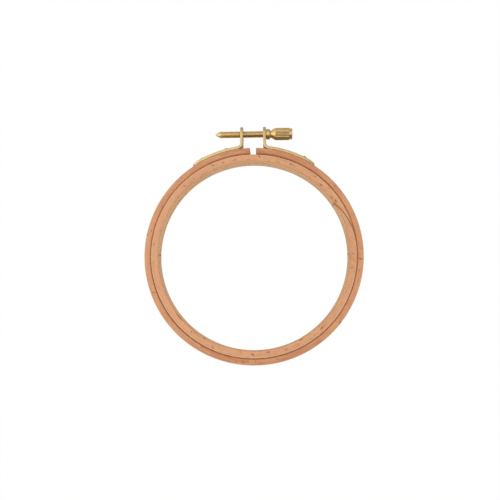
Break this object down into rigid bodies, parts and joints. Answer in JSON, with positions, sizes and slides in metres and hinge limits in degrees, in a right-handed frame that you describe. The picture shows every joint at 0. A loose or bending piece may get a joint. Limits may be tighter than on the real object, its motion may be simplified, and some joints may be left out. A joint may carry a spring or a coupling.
{
  "type": "embroidery hoop",
  "caption": "Round wooden embroidery hoop: a plain inner ring inside a split outer ring, which a thumb screw through bent brass lugs draws together.",
  "frame": {"origin": "centre of the hoop on the rings' axis, halfway through its depth", "axes": "+Z along the rings' axis, towards the face shown in the picture; +Y from the centre to the screw; +X along the screw, towards its knurled head"},
  "size_m": [0.1064, 0.1184, 0.008],
  "materials": {
    "outer_beech": "smooth steamed beech, waxed",
    "inner_beech": "smooth steamed beech, waxed",
    "brass_strip": "pale rolled brass",
    "brass_nail": "drawn brass",
    "brass_brad": "dull brass",
    "brass_screw": "turned brass"
  },
  "bodies": {
    "ring_right": {"outer_ring_right": "outer_beech", "right_bracket": "brass_strip", "right_lug_nail": "brass_nail", "right_tail_nail": "brass_nail"},
    "ring_left": {"outer_ring_left": "outer_beech", "left_bracket": "brass_strip", "left_lug_nail": "brass_nail", "left_tail_nail": "brass_nail"},
    "screw": {"thumb_screw": "brass_screw"},
    "inner": {"inner_ring": "inner_beech", "left_inner_brad": "brass_brad", "right_inner_brad": "brass_brad"}
  },
  "joints": [
    {"name": "screw_turn", "type": "hinge", "parent": "ring_right", "child": "screw", "pos_m": [0, 0.0615, 0], "axis": [1, 0, 0], "range_deg": [0, 2160]},
    {"name": "ring_opening", "type": "hinge", "parent": "ring_right", "child": "ring_left", "pos_m": [0, -0.05325, 0], "axis": [0, 0, 1], "range_deg": [0, 1.91]},
    {"name": "inner_lift", "type": "slide", "parent": "ring_right", "child": "inner", "axis": [0, 0, 1], "range_m": [0, 0.014]}
  ],
  "couplings": [
    {"joint": "ring_opening", "follows": "screw_turn", "ratio": 0.00088073}
  ]
}
